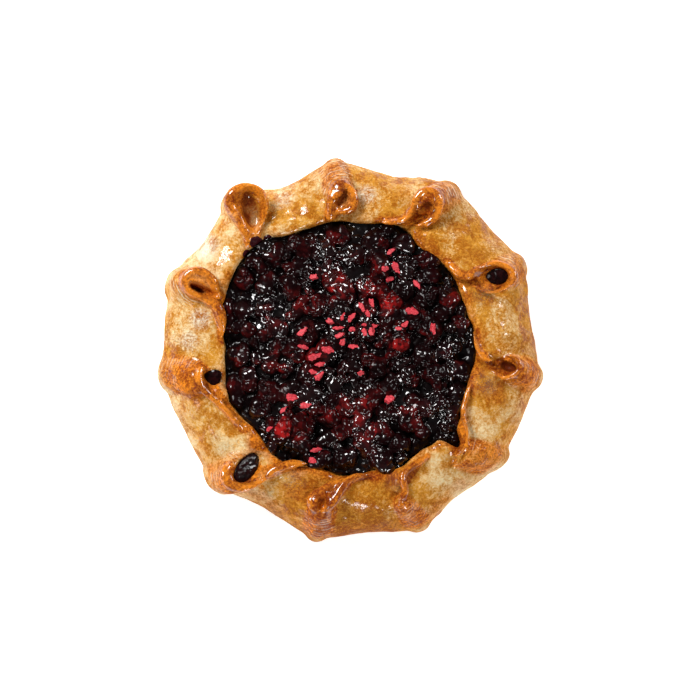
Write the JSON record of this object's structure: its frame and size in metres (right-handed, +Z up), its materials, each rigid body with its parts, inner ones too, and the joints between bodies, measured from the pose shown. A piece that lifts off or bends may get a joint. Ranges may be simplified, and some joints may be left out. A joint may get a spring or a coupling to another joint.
{
  "type": "fruit galette",
  "caption": "Round free-form tart of folded golden pastry, its edge gathered in rolled pleats round an open, glossy dark berry filling with red fruit crumbs.",
  "frame": {"origin": "middle of the flat underside, on the surface that the galette rests on", "axes": "+Z up out of the filling, +Y towards the long closed pleat at the back, +X to the right of it"},
  "size_m": [0.2124, 0.2131, 0.0374],
  "materials": {
    "baked_dough": "egg-washed shortcrust, mottled golden tan, browned to orange brown along the lips and pleats, satin to glossy",
    "berry_filling": "cooked dark berries in syrup, near black and wet, with deep red raspberries and matt red dried crumbs",
    "berry_syrup": "set dark berry jam, near black and mirror glossy"
  },
  "bodies": {
    "root": {"crust": "baked_dough", "filling": "berry_filling", "jam-pocket-1": "berry_syrup", "jam-pocket-7": "berry_syrup", "jam-pocket-side": "berry_syrup"}
  },
  "joints": []
}
